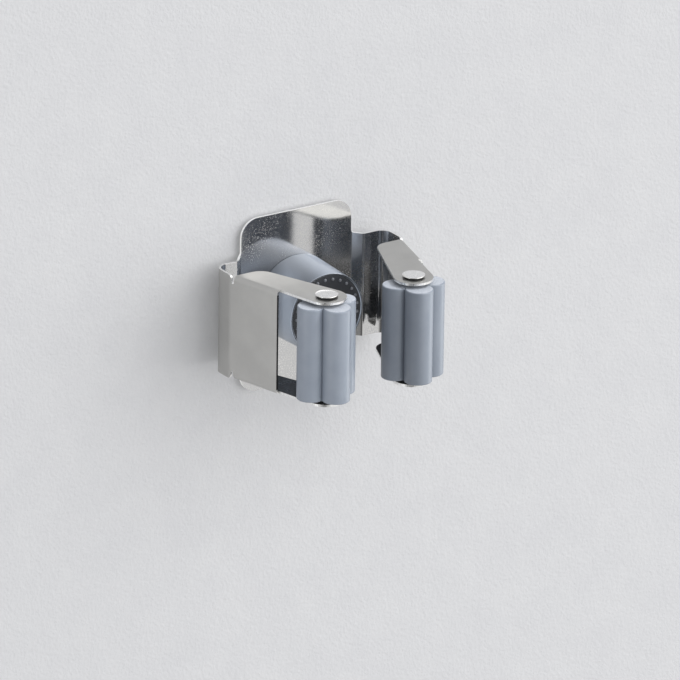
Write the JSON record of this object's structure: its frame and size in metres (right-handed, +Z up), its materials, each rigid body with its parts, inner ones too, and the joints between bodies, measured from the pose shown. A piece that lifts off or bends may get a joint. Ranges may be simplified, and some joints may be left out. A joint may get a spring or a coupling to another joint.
{
  "type": "spring clip mop holder",
  "caption": "Wall-mounted spring clip of bent stainless sheet: sprung arms carry lobed grey rubber rollers that pinch a mop or broom handle against a round stop.",
  "frame": {"origin": "middle of the adhesive pad's wall face, at mid height of the wings", "axes": "+X to the right as seen from the room, +Y into the wall, +Z up"},
  "size_m": [0.068, 0.0577, 0.0616],
  "materials": {
    "panel_steel": "polished, with fine scratches",
    "arm_steel": "satin",
    "rivet_steel": "polished",
    "grey_rubber": "matte, smooth moulded",
    "dark_rubber": "matte",
    "sleeve_plastic": "matte",
    "foam_tape": "matte foam"
  },
  "bodies": {
    "bracket": {"wall_pad": "foam_tape", "back_plate": "panel_steel", "stop_body": "grey_rubber", "stop_pad": "dark_rubber", "stop_rivet": "rivet_steel"},
    "left_arm": {"left_arm": "arm_steel", "left_rivet": "rivet_steel"},
    "left_roller": {"left_core": "sleeve_plastic", "left_roller": "grey_rubber"},
    "right_arm": {"right_arm": "arm_steel", "right_rivet": "rivet_steel"},
    "right_roller": {"right_core": "sleeve_plastic", "right_roller": "grey_rubber"}
  },
  "joints": [
    {"name": "left_flex", "type": "hinge", "parent": "bracket", "child": "left_arm", "pos_m": [-0.02902, -0.0048, 0], "axis": [0, 0, -1], "range_deg": [0, 12], "stiffness_Nm_per_rad": 6},
    {"name": "left_roll", "type": "hinge", "parent": "left_arm", "child": "left_roller", "pos_m": [-0.01705, -0.04703, 0], "axis": [0, 0, 1], "continuous": true},
    {"name": "right_flex", "type": "hinge", "parent": "bracket", "child": "right_arm", "pos_m": [0.02902, -0.0048, 0], "axis": [0, 0, 1], "range_deg": [0, 12], "stiffness_Nm_per_rad": 6},
    {"name": "right_roll", "type": "hinge", "parent": "right_arm", "child": "right_roller", "pos_m": [0.01705, -0.04703, 0], "axis": [0, 0, 1], "continuous": true}
  ]
}
